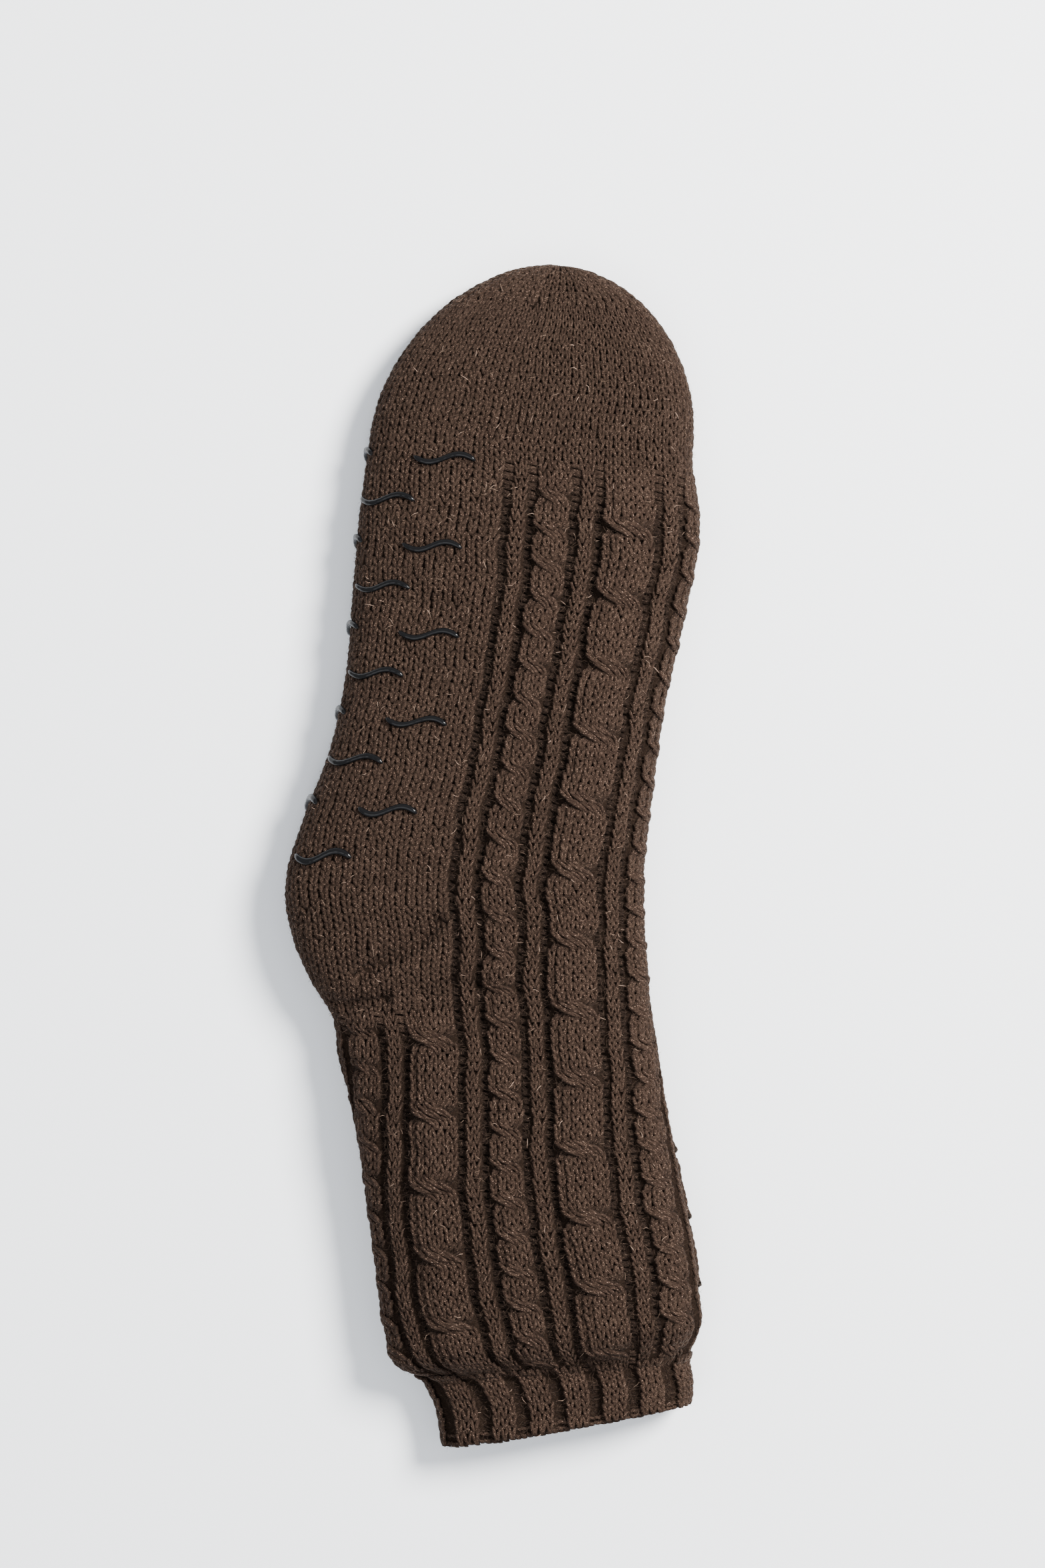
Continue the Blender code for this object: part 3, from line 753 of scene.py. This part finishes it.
def leg_wales():
    """Stitch place, width and kind of each wale of the pattern, all the way round."""
    found = []
    for repeat in range(STITCHES_ROUND // REPEAT):
        for place, width, kind in WALES:
            for side in (-1, 1):
                found.append((signed(repeat * REPEAT + side * place), width, KINDS[kind]))
    return np.array(sorted(found))


def lay_rows(knit, lines, wales, rows):
    """Stitches for every wale in every row."""
    row, index = (a.ravel() for a in np.meshgrid(rows, np.arange(len(wales)), indexing="ij"))
    knit.add(lines, row.astype(float), wales[index, 0], wales[index, 1], wales[index, 2])


def lay_plain(knit, lines, wales, rows):
    """Plain stitches, with fewer and larger ones where rows or wales crowd together."""
    row, index = (a.ravel() for a in np.meshgrid(rows, np.arange(len(wales)), indexing="ij"))
    stitch, width, kind = wales[index].T
    reach = lines.reach(row)
    wide = OUTSIDE.wale_width(reach, stitch) * width
    tall = np.linalg.norm(OUTSIDE.at(lines.reach(row + 0.5), stitch)[0]
                          - OUTSIDE.at(lines.reach(row - 0.5), stitch)[0], axis=-1)
    full = wide / (PLAIN_WIDTH * width)
    by_wale = np.where(full < NARROWEST, 4, np.where(full < NARROW, 2, 1))
    by_row = np.where(tall < lines.height * LOW_ROW, 2, 1)
    keep = (index % by_wale == 0) & (row % by_row == 0)
    stitch = stitch + width * (by_wale - 1) / 2
    knit.add(lines, (row + (by_row - 1) / 2)[keep], stitch[keep], (width * by_wale)[keep], kind[keep],
             by_row[keep])


def knit_pieces(material):
    """All stitches, in one piece for each part of the sock."""
    wales = leg_wales()
    ankle = int(LEG_ROWS.row(HEEL_END))
    toe_base = int(LEG_ROWS.row(TOE_KNITTING_END))
    leg = Knit("leg_knitting")
    lay_rows(leg, LEG_ROWS, wales, np.arange(ankle, int(LEG_ROWS.row(CUFF_START)) + 1))
    front = Knit("instep_knitting")
    lay_rows(front, LEG_ROWS, wales[np.abs(wales[:, 0]) < INSTEP_HALF], np.arange(toe_base, ankle))

    toe = Knit("toe_knitting")
    plain = np.array([(s + 0.5, 1.0, KINDS["plain"]) for s in range(-INSTEP_HALF, INSTEP_HALF)])
    lay_plain(toe, LEG_ROWS, plain, np.arange(int(LEG_ROWS.row(OUTSIDE.low)) - 1, toe_base))
    count = int((STITCHES_ROUND - 2 * INSTEP_HALF) / SOLE_WALE)
    sole_wales = np.array([(signed(INSTEP_HALF + (k + 0.5) * SOLE_WALE), SOLE_WALE, KINDS["plain"])
                           for k in range(count)])
    toe_end = int(SOLE_ROWS.row(SOLE_KNITTING_START))
    lay_plain(toe, SOLE_ROWS, sole_wales, np.arange(int(SOLE_ROWS.row(OUTSIDE.low)) - 1, toe_end))
    sole = Knit("sole_knitting")
    heel_start = int(SOLE_ROWS.row(REACH[NAMES.index("gusset")]))
    lay_plain(sole, SOLE_ROWS, sole_wales, np.arange(toe_end, heel_start))
    heel = Knit("heel_knitting")
    heel_end = int(SOLE_ROWS.row(LEG_ROWS.reach(ankle - 0.5)))
    lay_plain(heel, SOLE_ROWS, sole_wales, np.arange(heel_start, heel_end + 1))

    cuff = Knit("cuff_knitting")
    places = []
    for rib in range(STITCHES_ROUND // CUFF_RIB):
        middle = rib * CUFF_RIB
        for kind, centre, width in (("cuff", middle, CUFF_WALE),
                                    ("cuff_purl", middle + CUFF_RIB / 2, CUFF_GUTTER_WALE)):
            places += [(signed(centre + k * width), width, KINDS[kind]) for k in (-1, 0, 1)]
    last = float(CUFF_ROWS.row(TOTAL)) - LAST_CUFF_ROW
    rows = last - np.arange(int(last - CUFF_ROWS.row(CUFF_START - CUFF_OVERLAP)) + 1)
    lay_rows(cuff, CUFF_ROWS, np.array(places), rows)
    for kind, beyond in RIM_ROUNDS:
        rim = np.array([(signed(float(k)), 1.0, KINDS[kind]) for k in range(STITCHES_ROUND)])
        lay_rows(cuff, CUFF_ROWS, rim, np.array([last + beyond]))
    return [piece.make(material) for piece in (leg, front, toe, sole, heel, cuff)]


def fuzz(material, count):
    """Short brushed hairs that stand out of the yarn."""
    reach = chance.uniform(OUTSIDE.low + HAIR_FREE_TIP, TOTAL, count * 2)
    stitch = chance.uniform(-STITCHES_ROUND / 2, STITCHES_ROUND / 2, count * 2)
    keep = chance.uniform(0, WIDEST_WALE, count * 2) < OUTSIDE.wale_width(reach, stitch)
    reach, stitch = reach[keep][:count], stitch[keep][:count]
    n = len(reach)
    point, normal = OUTSIDE.at(reach, stitch)
    start = point + normal * (leg_relief(reach, stitch) - HAIR_ROOT)[:, None]
    along = OUTSIDE.at(reach - AHEAD / 2, stitch)[0] - point
    along /= np.maximum(np.linalg.norm(along, axis=1, keepdims=True), 1e-9)
    side = np.cross(normal, along)
    turn = chance.uniform(0, 2 * math.pi, n)[:, None]
    flat = along * np.cos(turn) + side * np.sin(turn)
    rise = chance.uniform(*HAIR_RISE, n)[:, None]
    length = chance.uniform(*HAIR_LENGTH, n)[:, None]
    middle = start + (flat + normal * rise) * length / 2
    bend = np.cross(normal, flat) * chance.normal(0, HAIR_BEND, (n, 1))
    end = middle + (flat + bend + normal * rise * HAIR_DROOP) * length / 2
    thin = np.cross(flat, normal) * HAIR_HALF_WIDTH
    verts = np.stack((start - thin, start + thin, middle - thin, middle + thin,
                      end - thin * HAIR_TIP, end + thin * HAIR_TIP), axis=1).reshape(-1, 3)
    quad = np.array(((0, 1, 3, 2), (2, 3, 5, 4)))
    faces = (np.arange(n)[:, None, None] * 6 + quad[None]).reshape(-1, 4)
    uv = np.repeat(chance.uniform(0, HAIR_UV, (n, 2)), 6, axis=0)
    return mesh_object("yarn_fuzz", settle(verts), faces, material, uv)


def grips(material):
    """The raised waves of anti-slip print, with rounded tops and ends."""
    steps, sides = GRIP_STEPS, GRIP_SIDES
    verts, faces = [], []
    for row in range(GRIP_ROWS):
        middle = GRIP_FIRST_ROW + row * GRIP_ROW_PITCH
        around = np.arange(-STITCHES_ROUND / 2, STITCHES_ROUND / 2)
        per_stitch = float(np.mean(OUTSIDE.wale_width(np.full_like(around, middle), around)))
        pitch = GRIP_COLUMN_PITCH / per_stitch
        for column in range(GRIP_COLUMNS):
            offset = column - (GRIP_COLUMNS - 1) / 2 + (GRIP_STAGGER if row % 2 else -GRIP_STAGGER)
            stitch = STITCHES_ROUND / 2 - offset * pitch
            t = np.linspace(0, 1, steps)
            across = (t - 0.5) * GRIP_LENGTH / per_stitch
            wave = GRIP_WAVE * np.sin(2 * math.pi * t)
            cap = np.clip(1 - np.abs(2 * t - 1) ** GRIP_END_ROUNDING, GRIP_LEAST_CAP, 1)[:, None] ** 0.5
            angle = np.radians(np.linspace(*GRIP_ARC, sides))
            reach = middle + wave[:, None] + cap * np.cos(angle) * GRIP_WIDTH / 2
            place = np.broadcast_to((stitch + across)[:, None], reach.shape)
            point, normal = OUTSIDE.at(reach, place)
            bumpy = GRIP_BUMP * np.sin(t * GRIP_BUMPS + row * 3 + column)[:, None]
            height = cap * (np.sin(angle) * GRIP_CROWN + bumpy) + GRIP_BASE
            first = len(verts) * steps * sides
            verts.append((point + normal * height[..., None]).reshape(-1, 3))
            i, j = np.meshgrid(np.arange(steps - 1), np.arange(sides - 1), indexing="ij")
            a = (first + i * sides + j).ravel()
            faces.append(np.stack((a, a + 1, a + 1 + sides, a + sides), axis=1))
    return mesh_object("grip_prints", settle(np.concatenate(verts)), np.concatenate(faces), material)


def yarn_material(name, dark, mid, light, sheen):
    """Brushed melange yarn: streaks along the strand, light flecks that are partly the melange and partly
    painted glints, painted shade read from the mesh that darkens the hollows, and a fibrous bump.
    """
    made = bpy.data.materials.new(name)
    made.use_nodes = True
    tree = made.node_tree
    shader = tree.nodes["Principled BSDF"]
    new, link = tree.nodes.new, tree.links.new
    uv = new("ShaderNodeUVMap")
    uv.uv_map = "yarn"
    stretch = new("ShaderNodeMapping")
    stretch.inputs["Scale"].default_value = (1.1, 9.0, 1.0)
    link(uv.outputs["UV"], stretch.inputs["Vector"])
    streak = new("ShaderNodeTexNoise")
    streak.inputs["Scale"].default_value = 1.3
    streak.inputs["Detail"].default_value = 3.0
    link(stretch.outputs["Vector"], streak.inputs["Vector"])
    space = new("ShaderNodeTexCoord")
    cloud = new("ShaderNodeTexNoise")
    cloud.inputs["Scale"].default_value = 900.0
    cloud.inputs["Detail"].default_value = 4.0
    cloud.inputs["Roughness"].default_value = 0.7
    link(space.outputs["Object"], cloud.inputs["Vector"])
    broad = new("ShaderNodeTexNoise")
    broad.inputs["Scale"].default_value = 160.0
    broad.inputs["Detail"].default_value = 2.0
    link(space.outputs["Object"], broad.inputs["Vector"])
    mixed = new("ShaderNodeMix")
    mixed.inputs["Factor"].default_value = 0.5
    link(streak.outputs["Fac"], mixed.inputs["A"])
    link(cloud.outputs["Fac"], mixed.inputs["B"])
    both = new("ShaderNodeMix")
    both.inputs["Factor"].default_value = 0.10
    link(mixed.outputs["Result"], both.inputs["A"])
    link(broad.outputs["Fac"], both.inputs["B"])
    ramp = new("ShaderNodeValToRGB")
    stops = ramp.color_ramp.elements
    stops[0].position, stops[0].color = 0.30, (*dark, 1.0)
    stops[1].position, stops[1].color = 0.74, (*light, 1.0)
    stops.new(0.50).color = (*mid, 1.0)
    link(both.outputs["Result"], ramp.inputs["Fac"])
    # Light flecks: partly the melange's light fibres, partly painted glints of shiny strands
    speck = new("ShaderNodeTexNoise")
    speck.inputs["Scale"].default_value = 1.0
    speck.inputs["Detail"].default_value = 1.0
    thin = new("ShaderNodeMapping")
    thin.inputs["Scale"].default_value = (3.2, 15.0, 1.0)
    link(uv.outputs["UV"], thin.inputs["Vector"])
    link(thin.outputs["Vector"], speck.inputs["Vector"])
    rare = new("ShaderNodeMapRange")
    rare.inputs["From Min"].default_value = 0.67
    rare.inputs["From Max"].default_value = 0.73
    link(speck.outputs["Fac"], rare.inputs["Value"])
    flecks_and_glints = new("ShaderNodeMix")
    flecks_and_glints.data_type = "RGBA"
    flecks_and_glints.inputs["B"].default_value = (*(5.6 * c for c in light), 1.0)
    link(rare.outputs["Result"], flecks_and_glints.inputs["Factor"])
    link(ramp.outputs["Color"], flecks_and_glints.inputs["A"])
    # The mesh's painted shade darkens the colour
    painted_shade_attribute = new("ShaderNodeAttribute")
    painted_shade_attribute.attribute_name = "painted_shade"
    shaded = new("ShaderNodeMix")
    shaded.data_type = "RGBA"
    shaded.blend_type = "MULTIPLY"
    shaded.inputs["Factor"].default_value = 1.0
    link(flecks_and_glints.outputs["Result"], shaded.inputs["A"])
    link(painted_shade_attribute.outputs["Fac"], shaded.inputs["B"])
    link(shaded.outputs["Result"], shader.inputs["Base Color"])
    bump = new("ShaderNodeBump")
    bump.inputs["Strength"].default_value = 0.55
    bump.inputs["Distance"].default_value = 0.0003
    link(mixed.outputs["Result"], bump.inputs["Height"])
    link(bump.outputs["Normal"], shader.inputs["Normal"])
    shader.inputs["Roughness"].default_value = 0.92
    shader.inputs["Specular IOR Level"].default_value = 0.06
    shader.inputs["Sheen Weight"].default_value = sheen
    shader.inputs["Sheen Roughness"].default_value = 0.3
    shader.inputs["Sheen Tint"].default_value = (0.75, 0.62, 0.52, 1.0)
    return made


def flat_material(name, colour, roughness, shine):
    """One colour all over."""
    made = bpy.data.materials.new(name)
    made.use_nodes = True
    shader = made.node_tree.nodes["Principled BSDF"]
    shader.inputs["Base Color"].default_value = (*colour, 1.0)
    shader.inputs["Roughness"].default_value = roughness
    shader.inputs["Specular IOR Level"].default_value = shine
    return made


def area_light(name, place, size, power, colour):
    """A round lamp that points at the middle of the floor."""
    light = bpy.data.lights.new(name, "AREA")
    light.shape = "DISK"
    light.size = size
    light.energy = power
    light.color = colour
    obj = bpy.data.objects.new(name, light)
    bpy.context.scene.collection.objects.link(obj)
    obj.location = place
    towards = -np.array(place) / np.linalg.norm(place)
    obj.rotation_euler = (math.acos(-towards[2]), 0.0, math.atan2(towards[1], towards[0]) - math.pi / 2)


def studio():
    """Floor, lights and the photo's view straight down."""
    side, drop = 6.0, -0.0003
    corners = np.array(((-side, -side, drop), (side, -side, drop), (side, side, drop), (-side, side, drop)))
    floor = mesh_object("studio_floor", corners, np.array(((0, 1, 2, 3),)),
                        flat_material("pale_floor", (0.90, 0.92, 0.945), roughness=0.9, shine=0.2))
    world = bpy.data.worlds.new("studio_world")
    world.use_nodes = True
    world.node_tree.nodes["Background"].inputs["Color"].default_value = (0.92, 0.95, 1.0, 1.0)
    world.node_tree.nodes["Background"].inputs["Strength"].default_value = 1.0
    bpy.context.scene.world = world
    area_light("key_light", (1.1, 0.7, 1.3), size=0.7, power=140.0, colour=(1.0, 0.98, 0.95))
    area_light("fill_light", (-0.6, -0.9, 1.8), size=1.6, power=20.0, colour=(0.95, 0.97, 1.0))
    camera = bpy.data.cameras.new("camera")
    camera.lens = camera.sensor_width * (CAMERA_HEIGHT - SCALE_HEIGHT) / (PHOTO_PIXELS[1] * PIXEL)
    view = bpy.data.objects.new("camera", camera)
    bpy.context.scene.collection.objects.link(view)
    middle = from_photo(PHOTO_PIXELS[0] / 2, PHOTO_PIXELS[1] / 2)
    view.location = (middle[0], middle[1], CAMERA_HEIGHT)
    bpy.context.scene.camera = view


yarn = yarn_material("brown_melange_yarn", dark=(0.0078, 0.0044, 0.0030), mid=(0.0195, 0.0116, 0.0082),
                     light=(0.078, 0.0505, 0.0368), sheen=0.07)
hair_yarn = yarn_material("loose_hairs", dark=(0.018, 0.011, 0.0078), mid=(0.036, 0.0235, 0.017),
                          light=(0.085, 0.058, 0.043), sheen=0.0)
# Much darker yarn for the backing: painted shade in the gaps between the strands and inside the sock
under_yarn = yarn_material("shaded_yarn", dark=(0.004, 0.0022, 0.0015), mid=(0.008, 0.0046, 0.003),
                           light=(0.018, 0.011, 0.0075), sheen=0.0)
rubber = flat_material("black_grip_print", (0.003, 0.003, 0.0033), roughness=0.11, shine=0.15)

wall = backing(under_yarn)
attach(wall, "root")
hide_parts("knitted_sock")
for piece in knit_pieces(yarn):
    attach(piece, "root")
hairs = fuzz(hair_yarn, HAIRS)
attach(hairs, "root")
prints = grips(rubber)
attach(prints, "root")
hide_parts(*[f"grip_wave_{row + 1}_{column + 1}"
                      for row in range(GRIP_ROWS) for column in range(GRIP_COLUMNS)])
studio()
